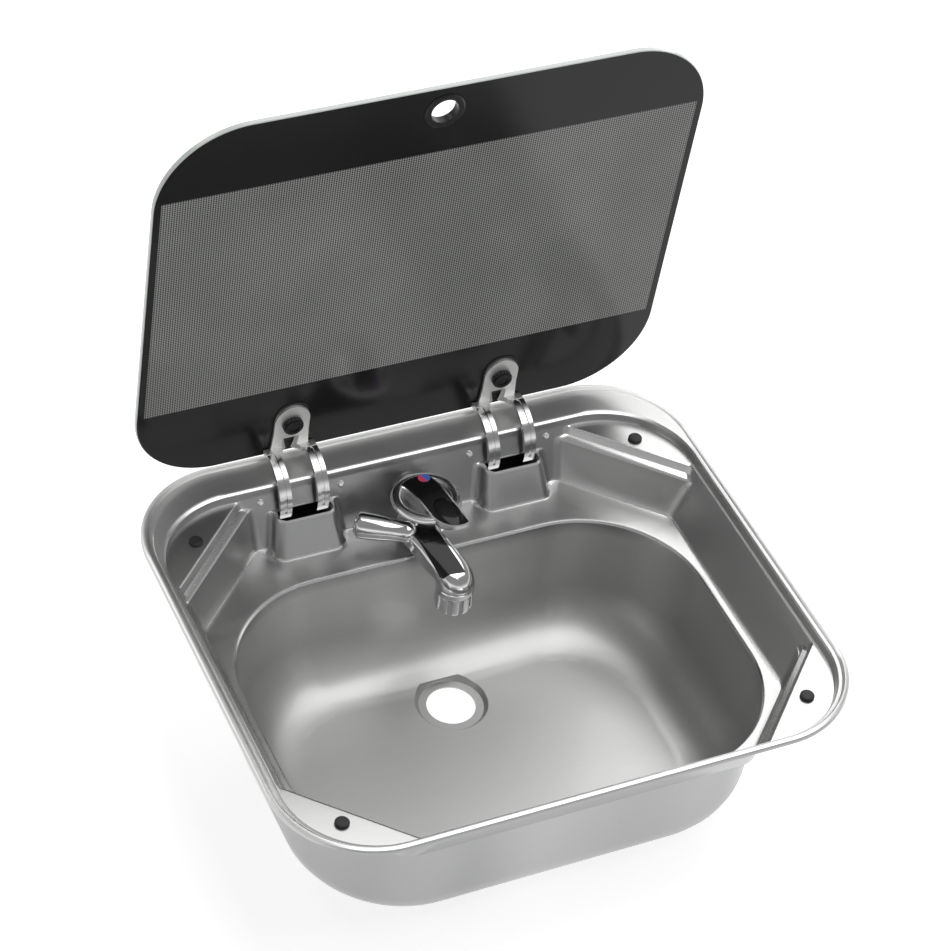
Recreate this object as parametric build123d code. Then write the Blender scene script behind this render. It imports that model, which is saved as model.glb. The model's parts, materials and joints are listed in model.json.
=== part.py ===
from build123d import *
import math
import os

# Drop-in wash-up sink with a hinged flush glass lid and a low single-lever tap.
# Millimetres.  The origin is the centre of the worktop cut-out, on the worktop's top
# plane: +X is the user's right, +Y the rear (hinge side), +Z up.  "depth" below is
# always measured down from the highest line of the rim.

# ---- driving dimensions -------------------------------------------------------------
RIM_TOP = 4.0
SHEET = 0.8
RIM_HALF_WIDTH = 210.0
RIM_HALF_LENGTH = 185.0
RIM_CORNER = 71.0

SHELF_DEPTH = 8.0
LEDGE_DEPTH = 47.0
BOX_TOP_DEPTH = 20.0
FOOT_RADIUS = 4.5

BOWL_HALF_WIDTH = 174.5
BOWL_REAR = 97.0
BOWL_FRONT = -149.5
BOWL_CORNER = 85.0
BOWL_DEPTH = 145.0
BOWL_DRAFT = 3.2
BOWL_EDGE_RADIUS = 3.5
BOWL_FOOT_RADIUS = 40.0

DRAIN_Y = 39.0
DRAIN_RING_RADIUS = 27.0
DRAIN_HOLE_RADIUS = 18.0
DRAIN_SINK = 3.2

WALL_SLOPE = 0.365
WALL_TOP_Y = 152.3

HINGE_X = 81.0
HINGE_AXIS_Y = 170.1
HINGE_AXIS_DEPTH = 17.25
ARM_OUTER = 28.4
ARM_INNER = 24.9
ARM_WIDTH = 9.0
ARM_OFFSET = 14.3
ARM_START = 87.0
ARM_END = 196.0
PIN_RADIUS = 2.5
HUB_RADIUS = 5.0
RUNNING_GAP = 0.05
SLOT_HALF_WIDTH = 20.5
SLOT_FRONT_Y = 135.3
SLOT_REAR_Y = 147.3
RIVET_OFFSET = 30.75
RIVET_DEPTH = 12.3

GLASS_HALF_WIDTH = 198.0
GLASS_HEIGHT = 327.7
GLASS_THICKNESS = 4.0
GLASS_CORNER = 63.5
GLASS_LEAN = 5.93
GLASS_FOOT_Y = 180.2
GLASS_FOOT_DEPTH = -4.0
GLASS_GRIP_U = 307.5
GRIP_HOLE_RADIUS = 11.4
CAP_U = 30.4

BUMPER_RADIUS = 5.0
BUMPER_REAR = (170.4, 123.0)
BUMPER_FRONT = (170.0, -147.0)

TAP_X = 2.2
TAP_Y = 118.3
TAP_YAW = 13.0
DOME_RADIUS = 25.6
DOME_BASE_DEPTH = 14.5
RING_RADIUS = 21.4
RING_DEPTH = 10.3
BODY_RADIUS = 20.6
LEVER_AXIS_DEPTH = 17.5
LEVER_REACH = 36.8
LEVER_PIN_RADIUS = 1.6
BAR_LEFT = -9.8
BAR_RIGHT = 13.0
BAR_FRONT_RADIUS = 19.0
BAR_REAR_RADIUS = 20.9
EDGE_WIDTH = 1.2
BUTTON_X = 3.6
BUTTON_REACH = 21.2
BUTTON_DEPTH = 8.1
DOT_X = 7.8
DOT_REACH = -13.8
DOT_RADIUS = 4.5
ARM_ROOT = (-48.9, 122.9, 27.0)
ARM_MOUTH = (-17.0, 103.7, 27.0)
STEM_X = 2.0
STEM_Y = 153.8
STEM_DEPTH = 27.0
STEM_RADIUS = 7.0
STEM_LENGTH = 36.4
STEM_BORE = 4.0
SPOUT_START = (-8.5, 104.0)
SPOUT_YAW = 14.0
INLAY_HALF_WIDTH = 8.9
INLAY_SEAM_Y = 88.6
NOSE_X = 6.5
NOSE_Y = 67.5
NOSE_RADIUS = 13.9
NOSE_TOP_DEPTH = 50.0
NOSE_BOTTOM_DEPTH = 71.5

ROOT2 = math.sqrt(2)


def level(depth):
    """Height of a plane that lies this far below the rim's highest line."""
    return RIM_TOP - depth


HINGE_AXIS_Z = level(HINGE_AXIS_DEPTH)


def wall_y(depth):
    """The rear wall is a flat pressing that leans back towards the rim."""
    return WALL_TOP_Y - WALL_SLOPE * (depth - SHELF_DEPTH)


def oblong(half_width, rear, front, radius, z):
    outline = RectangleRounded(2 * half_width, rear - front, radius)
    return Pos(0, (rear + front) / 2, z) * outline


def stack(outlines):
    return loft(outlines, ruled=True)


def solid_of(shape):
    """The one solid of a shape that a boolean returned as a compound."""
    return shape.solids().sort_by(SortBy.VOLUME)[-1]


# ---- the pressed sink ---------------------------------------------------------------
# Each pressing is a stack of outlines.  A row holds the outline's sides, its depth and
# the share of the sheet's thickness that its underside lies further out and further down.

def rim_block(skin):
    rows = (
        (0.0, 4.0 + 2 * skin, 1, 0),
        (0.0, 1.9, 1, 0),
        (0.65, 0.6, 0.7, 0.7),
        (2.2, 0.0, 0, 1),
    )
    outlines = []
    for inset, depth, side_share, top_share in rows:
        inset = inset + skin * side_share
        outlines.append(oblong(
            RIM_HALF_WIDTH - inset,
            RIM_HALF_LENGTH - inset,
            inset - RIM_HALF_LENGTH,
            RIM_CORNER - inset,
            level(depth + skin * top_share),
        ))
    return stack(outlines)


def lid_recess(skin):
    bead = (206.6, 181.6, -182.0, 67.6)
    rows = [
        (*bead, skin if skin else -1.0, 0, 0),
        (*bead, 0.0, 0, 1),
        (204.6, 179.2, -181.4, 66.2, 0.9, 0.3, 1),
        (204.2, 178.4, -181.2, 65.8, 1.1, 0, 1),
        (203.6, 173.6, -181.0, 65.4, 1.1, 0, 1),
        (203.4, 172.4, -180.9, 65.2, 0.8, 0, 1),
    ]
    if skin:
        rows = rows[1:]
    for angle in (0, 30, 60, 90):
        sine = math.sin(math.radians(angle))
        cosine = math.cos(math.radians(angle))
        rows.append((
            203.2 - 2.7 * sine,
            157.0 - 4.0 * sine,
            -180.8 + 1.8 * sine,
            65.0 - sine,
            0.8 + 3.2 * (1 - cosine),
            sine,
            cosine,
        ))
    rows.append((200.3, 152.9, -178.8, 63.8, 6.4, 1, 0))
    rows.append((199.6, WALL_TOP_Y, -178.3, 63.2, SHELF_DEPTH, 1, 1))
    outlines = []
    for half_width, rear, front, corner, depth, side_share, down_share in rows:
        grow = skin * side_share
        outlines.append(oblong(
            half_width + grow,
            rear + grow,
            front - grow,
            corner + grow,
            level(depth + skin * down_share),
        ))
    return stack(outlines)


def tray_outline(half_width, rear, front, rear_cut, front_cut, corner, z):
    """A rectangle whose four corners are cut at 45 degrees, at these distances."""
    rear_sum = rear_cut * ROOT2
    front_sum = front_cut * ROOT2
    right = [
        (front_sum + front, front),
        (half_width, half_width - front_sum),
        (half_width, rear_sum - half_width),
        (rear_sum - rear, rear),
    ]
    left = [(-x, y) for x, y in reversed(right)]
    face = make_face(Polyline(*right, *left, close=True).edges())
    return Pos(0, 0, z) * fillet(face.vertices(), corner)


def upper_tray(skin):
    """From the corner shelves down to the top of the hinge boxes."""
    rows = (
        (197.6, 151.9, -177.2, 200.0, 214.4, 8, 5.0, 1, 1),
        (198.0, WALL_TOP_Y, -177.6, 200.3, 214.8, 8, SHELF_DEPTH, 1, 1),
        (197.6, wall_y(8.5), -177.3, 199.0, 213.5, 8, 8.5, 1, 0.6),
        (197.1, wall_y(9.6), -176.8, 198.2, 212.7, 8, 9.6, 1, 0.3),
        (195.5, wall_y(13.5), -175.0, 196.2, 210.9, 9, 13.5, 1, 0.3),
        (194.9, wall_y(15.0), -174.4, 192.5, 207.5, 9, 15.0, 1, 0.3),
        (194.2, wall_y(16.5), -173.8, 190.8, 206.4, 10, 16.5, 1, 0.3),
        (192.8, wall_y(BOX_TOP_DEPTH), -172.0, 189.8, 205.9, 10, BOX_TOP_DEPTH, 1, 1),
    )
    outlines = []
    for half_width, rear, front, rear_cut, front_cut, corner, depth, out, down in rows:
        grow = skin * out
        outlines.append(tray_outline(
            half_width + grow,
            rear + grow,
            front - grow,
            rear_cut + grow,
            front_cut + grow,
            corner + grow,
            level(depth + skin * down),
        ))
    return stack(outlines)


def boxed_outline(depth, inset, box_inset, z):
    """The tray's outline below the hinge boxes' tops, drawn in by an inset."""
    share = (depth - BOX_TOP_DEPTH) / (LEDGE_DEPTH - BOX_TOP_DEPTH)
    half_width = 192.8 - 10.8 * share - inset
    rear = wall_y(depth) - inset
    front = -172.0 + 13.5 * share + inset
    rear_sum = (189.8 - 8.3 * share - inset) * ROOT2
    front_sum = (205.9 - 3.9 * share - inset) * ROOT2
    box_front = 134.9 - 13.4 * share - box_inset
    box_half = 22.5 + 3.5 * share + box_inset
    corners = [
        (front_sum + front, front, 16),
        (half_width, half_width - front_sum, 16),
        (half_width, rear_sum - half_width, 14),
        (rear_sum - rear, rear, 10),
        (HINGE_X + box_half + 1.2, rear, 6),
        (HINGE_X + box_half, box_front, -7),
        (HINGE_X - box_half, box_front, -7),
        (HINGE_X - box_half - 1.2, rear, 6),
    ]
    corners += [(-x, y, radius) for x, y, radius in reversed(corners)]
    face = make_face(Polyline(*[(x, y) for x, y, radius in corners], close=True).edges())
    for x, y, radius in corners:
        vertex = face.vertices().sort_by_distance(Vertex(x, y, 0))[0]
        rounding = radius - inset if radius > 0 else box_inset - radius
        face = fillet(vertex, rounding)
    return Pos(0, 0, z) * face


def lower_tray(skin):
    """The tray's wall and foot around the two raised hinge boxes."""
    rows = [
        (BOX_TOP_DEPTH, 0.0, -2.6, 1, 1, 0, BOX_TOP_DEPTH),
        (20.6, 0.0, -0.9, 1, 0.6, 0.6, 20.6),
        (22.6, 0.0, 0.0, 1, 0.3, 1, 22.6),
    ]
    wall_angle = 20.0
    start = LEDGE_DEPTH - FOOT_RADIUS * (1 - math.sin(math.radians(wall_angle)))
    for angle in (wall_angle, 55.0, 90.0):
        sine = math.sin(math.radians(angle))
        cosine = math.cos(math.radians(angle))
        inset = FOOT_RADIUS * (math.cos(math.radians(wall_angle)) - cosine)
        depth = LEDGE_DEPTH - FOOT_RADIUS * (1 - sine)
        rows.append((start, inset, inset, cosine, sine, cosine, depth))
    outlines = []
    for depth, inset, box_inset, out, down, box_out, at_depth in rows:
        outlines.append(boxed_outline(
            depth, inset - skin * out, box_inset - skin * box_out, level(at_depth + skin * down)))
    return stack(outlines)


def bowl_form(skin):
    rows = [(-BOWL_EDGE_RADIUS - 1.0, LEDGE_DEPTH - 2.0, 0, 0, 0)]
    for angle in (0, 30, 60, 90):
        sine = math.sin(math.radians(angle))
        cosine = math.cos(math.radians(angle))
        rows.append((
            -BOWL_EDGE_RADIUS * (1 - sine),
            LEDGE_DEPTH + BOWL_EDGE_RADIUS * (1 - cosine),
            0,
            sine,
            cosine,
        ))
    draft = math.radians(BOWL_DRAFT)
    tangent_depth = BOWL_DEPTH - BOWL_FOOT_RADIUS * (1 - math.sin(draft))
    wall_inset = (tangent_depth - rows[-1][1]) * math.tan(draft)
    for angle in (BOWL_DRAFT, 13, 24, 35, 46, 57, 68, 79, 90):
        sine = math.sin(math.radians(angle))
        cosine = math.cos(math.radians(angle))
        inset = wall_inset + BOWL_FOOT_RADIUS * (math.cos(draft) - cosine)
        depth = BOWL_DEPTH - BOWL_FOOT_RADIUS * (1 - sine)
        rows.append((inset, depth, 13 * (1 - cosine), cosine, sine))
    outlines = []
    for inset, depth, wider, out, down in rows:
        inset = inset - skin * out
        outlines.append(oblong(
            BOWL_HALF_WIDTH - inset,
            BOWL_REAR - inset,
            BOWL_FRONT + inset,
            BOWL_CORNER - inset + wider,
            level(depth + skin * down),
        ))
    return stack(outlines)


def drain_form(skin):
    top = level(BOWL_DEPTH) + 1.0
    rows = (
        (DRAIN_RING_RADIUS + 1.0 + skin, top),
        (DRAIN_RING_RADIUS + skin * 0.4, level(BOWL_DEPTH + skin)),
        (DRAIN_RING_RADIUS - 3.0 + skin * 0.4, level(BOWL_DEPTH + DRAIN_SINK + skin)),
    )
    return stack([Pos(0, DRAIN_Y, z) * Circle(radius) for radius, z in rows])


def cavity(skin):
    form = lid_recess(skin) + upper_tray(skin)
    form = form + lower_tray(skin)
    form = form + bowl_form(skin)
    return form + drain_form(skin)


def hinge_slot(centre_x):
    length = SLOT_REAR_Y - SLOT_FRONT_Y
    outline = RectangleRounded(2 * SLOT_HALF_WIDTH, length, 5.0)
    middle = (SLOT_REAR_Y + SLOT_FRONT_Y) / 2
    return Pos(centre_x, middle, level(BOX_TOP_DEPTH) - 4) * extrude(outline, amount=7)


def wall_frame(x, depth):
    """A placement on the rear wall's visible face, with its Z out of the wall."""
    tilt = 90 - math.degrees(math.atan(WALL_SLOPE))
    return Pos(x, wall_y(depth), level(depth)) * Rot(tilt, 0, 0)


def rivet_places(centre_x):
    return [wall_frame(centre_x + side * RIVET_OFFSET, RIVET_DEPTH) for side in (-1, 1)]


def sink_bowl(outer_form, inner_form):
    sheet = rim_block(0) - rim_block(SHEET)
    sheet = sheet + outer_form
    sheet = sheet - inner_form
    sheet = sheet - Pos(0, DRAIN_Y, level(BOWL_DEPTH)) * Cylinder(DRAIN_HOLE_RADIUS, 20)
    for side in (-1, 1):
        sheet = sheet - hinge_slot(side * HINGE_X)
        for place in rivet_places(side * HINGE_X):
            sheet = sheet - place * Cylinder(1.6, 8)
    sheet = sheet - stem_form(STEM_RADIUS + 0.5, STEM_LENGTH)
    return solid_of(sheet)


def rim_seal():
    outer = oblong(208.6, 183.6, -183.6, 69.6, 0.0)
    inner = oblong(204.4, 180.8, -181.9, 66.0, 0.0)
    return extrude(outer - inner, amount=level(0) - 3.2)


def bumper(x, y):
    """A domed rubber buffer that is glued to the corner shelf."""
    body = revolved([
        (0, 0), (BUMPER_RADIUS, 0), (BUMPER_RADIUS, 1.7), (BUMPER_RADIUS - 0.5, 2.4),
        (BUMPER_RADIUS - 1.8, 2.8), (0, 2.9),
    ])
    return Pos(x, y, level(SHELF_DEPTH)) * body


# ---- hinges -------------------------------------------------------------------------
# Profiles are drawn in the Y-Z plane and extruded along X.

def slab(face, x_from, x_to):
    return extrude(Plane.YZ.offset(x_from) * face, amount=x_to - x_from)


def ring_sector(inner, outer, start, end):
    centre = (HINGE_AXIS_Y, HINGE_AXIS_Z)
    rim = CenterArc(centre, outer, start, end - start)
    bore = CenterArc(centre, inner, start, end - start)
    first = Line(rim @ 0, bore @ 0)
    last = Line(rim @ 1, bore @ 1)
    return make_face([*rim.edges(), *bore.edges(), *first.edges(), *last.edges()])


def polygon(*points):
    return make_face(Polyline(*points, close=True).edges())


def polar(radius, angle):
    turn = math.radians(angle)
    return (HINGE_AXIS_Y + radius * math.cos(turn), HINGE_AXIS_Z + radius * math.sin(turn))


def disc(radius):
    return Pos(HINGE_AXIS_Y, HINGE_AXIS_Z) * Circle(radius)


def hinge_arm(centre_x):
    """A quarter ring with two ribs and a groove, a spoke and a hub on the pin."""
    half = ARM_WIDTH / 2
    left, right = centre_x - half, centre_x + half
    arm = slab(ring_sector(ARM_INNER, ARM_OUTER, ARM_START, ARM_END), left, right)
    groove = slab(ring_sector(ARM_OUTER - 0.9, ARM_OUTER + 2, ARM_START - 2, ARM_END - 9),
                  centre_x - 1.0, centre_x + 1.0)
    arm = arm - groove
    spoke = polygon(
        polar(ARM_INNER + 1.5, ARM_END - 4.9),
        polar(ARM_INNER + 1.5, ARM_END - 0.5),
        polar(19.0, ARM_END + 4.0),
        polar(3.4, 236),
        polar(3.4, 160),
        polar(19.5, ARM_END - 2.6),
    )
    arm = arm + slab(spoke, centre_x - 2.4, centre_x + 2.4)
    arm = arm + slab(disc(HUB_RADIUS), left, right)
    return solid_of(arm - slab(disc(PIN_RADIUS + RUNNING_GAP), left - 1, right + 1))


def hinge_pin(centre_x):
    pin = slab(disc(PIN_RADIUS), centre_x - 22.0, centre_x + 22.0)
    head = slab(disc(4.2), centre_x - 23.6, centre_x - 22.0)
    clip = slab(disc(3.6), centre_x + 22.0, centre_x + 23.0)
    return solid_of(pin + head + clip)


def hinge_housing(centre_x, outer_form):
    """The moulded housing behind the wall: two cheeks, a drum and a riveted flange."""
    ceiling = level(3.4)
    back_y = 177.9
    below = -41.5
    box_room = polygon((146, ceiling), (back_y, ceiling), (back_y, below), (146, below))
    outside = slab(disc(31.2), centre_x - 22, centre_x + 22)
    outside = outside + slab(box_room, centre_x - 22, centre_x + 22)
    limit = polygon((130, ceiling), (back_y, ceiling), (back_y, -60), (130, -60))
    outside = outside & slab(limit, centre_x - 22, centre_x + 22)
    hollow = slab(disc(29.4), centre_x - 19.6, centre_x + 19.6)
    room = polygon((130, ceiling - 1.8), (back_y - 1.8, ceiling - 1.8),
                   (back_y - 1.8, below + 3), (150, below + 3), (130, -20))
    hollow = hollow + slab(room, centre_x - 19.6, centre_x + 19.6)
    housing = outside - (hollow & slab(polygon(
        (120, ceiling - 1.8), (back_y - 1.8, ceiling - 1.8), (back_y - 1.8, -60), (120, -60)),
        centre_x - 19.6, centre_x + 19.6))
    housing = housing - slab(disc(PIN_RADIUS), centre_x - 30, centre_x + 30)
    ear = polygon(
        (wall_y(5.5) + 1.0, level(5.5)),
        (wall_y(5.5) + 3.2, level(5.5)),
        (wall_y(18.5) + 3.2, level(18.5)),
        (wall_y(18.5) + 1.0, level(18.5)),
    )
    for side in (-1, 1):
        edges = sorted((centre_x + side * 20, centre_x + side * 35))
        housing = housing + slab(ear, *edges)
    housing = housing - Pos(centre_x, 141.0, -8) * Box(39.2, 14.0, 30)
    housing = housing - outer_form
    for place in rivet_places(centre_x):
        housing = housing - place * Cylinder(1.6, 20)
    return solid_of(housing)


def hinge_rivets(centre_x):
    profile = [
        (0, 0.55), (0.9, 0.55), (1.3, 1.35), (2.0, 1.15), (2.75, 0.0),
        (1.6, 0.0), (1.6, -3.4), (2.4, -3.6), (2.0, -4.6), (0, -4.6),
    ]
    face = make_face(Polyline(*profile, close=True).edges())
    one = revolve(Plane.XZ * face, Axis.Z)
    return Compound([place * one for place in rivet_places(centre_x)])


# ---- glass lid (drawn open, the rest position) ---------------------------------------
LEAN = math.radians(GLASS_LEAN)
LID_UP = Vector(0, -math.sin(LEAN), math.cos(LEAN))
LID_FACE = Vector(0, -math.cos(LEAN), -math.sin(LEAN))
LID_PLANE = Plane(
    origin=(0, GLASS_FOOT_Y, level(GLASS_FOOT_DEPTH)),
    x_dir=(1, 0, 0),
    z_dir=(LID_FACE.X, LID_FACE.Y, LID_FACE.Z),
)


def on_lid(x, u, out=0.0):
    """A placement on the glass's front face, u up from its foot, Z out of the glass."""
    return LID_PLANE.location * Pos(x, u, out)


def lid_glass():
    outline = RectangleRounded(2 * GLASS_HALF_WIDTH, GLASS_HEIGHT, GLASS_CORNER)
    glass = on_lid(0, GLASS_HEIGHT / 2) * extrude(outline, amount=-GLASS_THICKNESS)
    glass = chamfer(glass.edges().filter_by(Plane.XY.rotated((90 + GLASS_LEAN, 0, 0))), 0.5)
    glass = glass - on_lid(0, GLASS_GRIP_U) * Cylinder(GRIP_HOLE_RADIUS, 12)
    for side in (-1, 1):
        glass = glass - on_lid(side * HINGE_X, CAP_U) * Cylinder(4.2, 12)
    return solid_of(glass)


def finger_grommet():
    """A rolled black ring that lines the finger hole on both faces of the glass."""
    outer, inner = 14.4, 9.6
    points = [
        (inner, -5.0), (inner + 0.6, -5.6), (outer - 1.2, -5.6), (outer, -4.5),
        (outer, -4.02), (GRIP_HOLE_RADIUS - 0.1, -4.02), (GRIP_HOLE_RADIUS - 0.1, 0.02),
        (outer, 0.02), (outer, 0.5), (outer - 1.2, 1.5), (inner + 0.6, 1.5), (inner, 0.8),
    ]
    ring = revolve(Plane.XZ * polygon(*points), Axis.Z)
    return on_lid(0, GLASS_GRIP_U) * ring


def hinge_gasket(centre_x):
    pad = RectangleRounded(25.0, 38.0, 11.0) - Pos(0, CAP_U - 30.5) * Circle(4.2)
    return on_lid(centre_x, 30.5, 0.02) * extrude(pad, amount=0.76)


def hinge_plate(centre_x):
    """The plate on the glass, bent forward at its foot into a band with an arch."""
    half = 13.25
    outline = Polyline(
        (-half - 1.2, 3.4), (-half, 22.0), (-half, 39.0), (0, 52.2), (half, 39.0),
        (half, 22.0), (half + 1.2, 3.4), close=True)
    face = make_face(outline.edges())
    for x, u, radius in ((0, 52.2, 11.0), (-half, 39.0, 14.0), (half, 39.0, 14.0)):
        vertex = face.vertices().sort_by_distance(Vertex(x, u, 0))[0]
        face = fillet(vertex, radius)
    plate = on_lid(centre_x, 0, 0.8) * extrude(face, amount=2.0)
    band = slab(ring_sector(ARM_INNER, ARM_OUTER + 0.4, 70, ARM_START),
                centre_x - 18.8, centre_x + 18.8)
    ahead = on_lid(centre_x, 20, 0.8) * (Pos(0, 0, 20) * Box(60, 100, 40))
    band = band & ahead
    plate = plate + band
    arch_y = polar(26, ARM_START)[0]
    arch = Pos(centre_x, arch_y + 0.6, level(0) + 8) * Cylinder(7.2, 24)
    arch = arch + Pos(centre_x, arch_y - 4.4, level(0) + 8) * Box(14.4, 10, 24)
    plate = plate - arch
    plate = plate - on_lid(centre_x, CAP_U) * Cylinder(4.2, 12)
    keep = slab(ring_sector(ARM_INNER, 60, -40, ARM_START), centre_x - 30, centre_x + 30)
    return solid_of(plate & keep)


def hinge_cap(centre_x):
    """The black knurled nut on the plate, with its threaded shank through the glass."""
    count = 18
    outline = []
    for step in range(count):
        for offset, radius in ((0, 7.5), (0.5, 6.9)):
            angle = 2 * math.pi * (step + offset) / count
            outline.append((radius * math.cos(angle), radius * math.sin(angle)))
    knurl = extrude(polygon(*outline), amount=3.6)
    crown = Pos(0, 0, 3.6) * extrude(Circle(6.6), amount=0.8)
    nut = knurl + crown - Pos(0, 0, 4.4) * Cylinder(4.0, 1.2)
    shank = Pos(0, 0, -3.38) * Cylinder(4.1, 6.76)
    return on_lid(centre_x, CAP_U, 2.82) * solid_of(nut + shank)


def hinge_outer_disc(centre_x):
    """The round pad that clamps the plate from the lid's outer face."""
    disc_body = Pos(0, 0, -1.3) * Cylinder(14.0, 2.4)
    disc_body = chamfer(disc_body.edges().group_by(Axis.Z)[0], 0.8)
    return on_lid(centre_x, CAP_U, -GLASS_THICKNESS - 0.02) * disc_body


# ---- tap ----------------------------------------------------------------------------
TAP_TURN = Pos(TAP_X, TAP_Y, 0) * Rot(0, 0, TAP_YAW)


def revolved(points):
    """A solid of revolution about Z from (radius, height) points."""
    return revolve(Plane.XZ * polygon(*points), Axis.Z)


def at_tap(x, reach, depth=RIM_TOP):
    """A placement in the lever's own frame: reach is measured towards the user."""
    return TAP_TURN * Pos(x, -reach, level(depth))


def tap_body(stem_solid):
    """The round mixer body that hangs under the lever, open above for the cartridge."""
    lip, waist, foot = level(16.4), level(24.0), level(39.0)
    points = [
        (0, foot), (9.0, foot), (15.0, foot + 1.6), (18.4, waist - 9), (20.2, waist - 2),
        (BODY_RADIUS, waist + 3), (BODY_RADIUS, lip - 1.2), (20.0, lip), (17.0, lip),
        (17.0, level(33.0)), (0, level(33.0)),
    ]
    return solid_of(at_tap(0, 0) * revolved(points) - stem_solid)


def body_room():
    """The space that the mixer body and its cartridge fill."""
    return at_tap(0, 0, 26.0) * Cylinder(BODY_RADIUS, 24)


def arm_plane():
    start = Vector(ARM_ROOT[0], ARM_ROOT[1], level(ARM_ROOT[2]))
    end = Vector(ARM_MOUTH[0], ARM_MOUTH[1], level(ARM_MOUTH[2]))
    along = (end - start).normalized()
    return Plane(origin=start, z_dir=along, x_dir=(0, 0, 1)), (end - start).length


def tap_arm(body):
    """The side arm, which tapers from its free end and sinks into the spout's root."""
    plane, length = arm_plane()
    back = Spline((8.0, 0), (9.5, 1.2), (10.0, 4.5), (9.2, length * 0.5), (8.2, length - 1.0))
    nose = Spline((8.2, length - 1.0), (7.2, length + 3.0), (4.4, length + 5.6), (0, length + 6.6))
    face = make_face([
        *Line((0, 0), (8.0, 0)).edges(),
        *back.edges(),
        *nose.edges(),
        *Line((0, length + 6.6), (0, 0)).edges(),
    ])
    arm = plane.location * revolve(Plane.XZ * face, Axis.Z)
    return solid_of(arm - body - body_room())


def tap_end_cap():
    cap = chamfer(extrude(Circle(7.0), amount=1.3).edges().group_by(Axis.Z)[-1], 0.8)
    return arm_plane()[0].location * Pos(0, 0, -0.02) * Rot(180, 0, 0) * cap


def stem_form(radius, length):
    return Pos(STEM_X, STEM_Y, level(STEM_DEPTH)) * Rot(90, 0, 0) * Cylinder(radius, length)


def tap_stem():
    return solid_of(stem_form(STEM_RADIUS, STEM_LENGTH) - stem_form(STEM_BORE, STEM_LENGTH + 9))


def stem_ring(inner, outer, near, far, sheet_side):
    """A ring on the stem that lies flat on the sloping wall, before or behind it."""
    place = wall_frame(STEM_X, STEM_DEPTH)
    low, high = (near, far) if sheet_side > 0 else (-far, -near)
    ring = place * Pos(0, 0, (low + high) / 2) * Cylinder(outer, high - low)
    return solid_of(ring - stem_form(inner, STEM_LENGTH))


def tap_rosette():
    return stem_ring(STEM_RADIUS + 0.02, 11.5, 0.62, 2.6, 1)


def tap_seal():
    return stem_ring(STEM_RADIUS + 0.02, 11.0, 0.02, 0.6, 1)


def tap_washer():
    return stem_ring(STEM_RADIUS + 0.02, 10.2, SHEET + 0.4, SHEET + 2.1, -1)


def tap_nut():
    back = Pos(STEM_X, 161.5, level(STEM_DEPTH)) * Rot(90, 0, 0)
    nut = back * extrude(RegularPolygon(11.0, 6), amount=7.0)
    return solid_of(nut - back * Cylinder(STEM_RADIUS, 40))


SPOUT_ROWS = (
    # (reach, depth, downward pitch, half width, half height, corner)
    (-1.0, 30.3, 10.0, 12.6, 8.0, 5.5),
    (9.0, 33.4, 15.0, 12.8, 8.4, 5.6),
    (18.0, 36.8, 18.0, 13.0, 8.9, 6.0),
    (26.0, 40.2, 24.0, 13.3, 9.2, 7.0),
    (34.5, 43.6, 55.0, 13.6, 10.6, 9.4),
    (37.6, 46.5, 75.0, 13.8, 12.8, 12.0),
    (39.46, NOSE_TOP_DEPTH, 90.0, NOSE_RADIUS, NOSE_RADIUS, NOSE_RADIUS - 0.05),
)


def spout_form(grow):
    yaw = math.radians(SPOUT_YAW)
    ahead = Vector(math.sin(yaw), -math.cos(yaw), 0)
    across = Vector(math.cos(yaw), math.sin(yaw), 0)
    path_x = (NOSE_X - SPOUT_START[0]) / SPOUT_ROWS[-1][0]
    path_y = (NOSE_Y - SPOUT_START[1]) / SPOUT_ROWS[-1][0]
    outlines = []
    for reach, depth, pitch, half_width, half_height, corner in SPOUT_ROWS:
        lean = math.radians(pitch)
        along = ahead * math.cos(lean) + Vector(0, 0, -1) * math.sin(lean)
        x = SPOUT_START[0] + path_x * reach
        y = SPOUT_START[1] + path_y * reach
        plane = Plane(origin=(x, y, level(depth)), z_dir=along, x_dir=across)
        size_x, size_y = 2 * (half_width + grow), 2 * (half_height + grow)
        outlines.append(plane * RectangleRounded(size_x, size_y, corner + grow))
    return loft(outlines)


def spout(body, arm):
    bore = Pos(NOSE_X, NOSE_Y, level(NOSE_TOP_DEPTH)) * Cylinder(9.0, 14)
    return solid_of(spout_form(0) - body - arm - body_room() - bore)


def spout_inlay(rear_y, front_y, lowest, arm):
    """A glossy strip along the spout's crown, with its ends square to the sink."""
    slope = math.tan(math.radians(SPOUT_YAW + 1))
    rear_x = SPOUT_START[0] + (SPOUT_START[1] - rear_y) * slope
    front_x = SPOUT_START[0] + (SPOUT_START[1] - front_y) * slope
    outline = polygon(
        (rear_x - INLAY_HALF_WIDTH, rear_y),
        (rear_x + INLAY_HALF_WIDTH, rear_y),
        (front_x + INLAY_HALF_WIDTH, front_y),
        (front_x - INLAY_HALF_WIDTH, front_y),
    )
    keep = Pos(0, 0, level(lowest)) * extrude(outline, amount=lowest - 15)
    strip = (spout_form(0.5) - spout_form(0.02)) & keep
    return solid_of(strip - arm - at_tap(0, 0, 26.0) * Cylinder(BODY_RADIUS + 0.2, 24))


def aerator_housing():
    """The fluted ring that screws into the spout's nose."""
    top, bottom = level(NOSE_TOP_DEPTH + 0.05), level(NOSE_BOTTOM_DEPTH)
    ring = revolved([
        (10.6, top), (13.2, top), (13.4, top - 1.6), (13.9, top - 2.4), (13.9, bottom + 1.4),
        (12.9, bottom), (11.0, bottom), (11.0, bottom + 2.0), (11.6, bottom + 2.4),
        (11.6, top - 2.0), (10.6, top - 2.0),
    ])
    count = 12
    for step in range(count):
        angle = 360 * step / count
        notch = Rot(0, 0, angle) * Pos(13.9, 0, (top + bottom) / 2 - 3.6) * Box(3.0, 3.6, 16.0)
        ring = ring - notch
    return Pos(NOSE_X, NOSE_Y, 0) * solid_of(ring)


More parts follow.
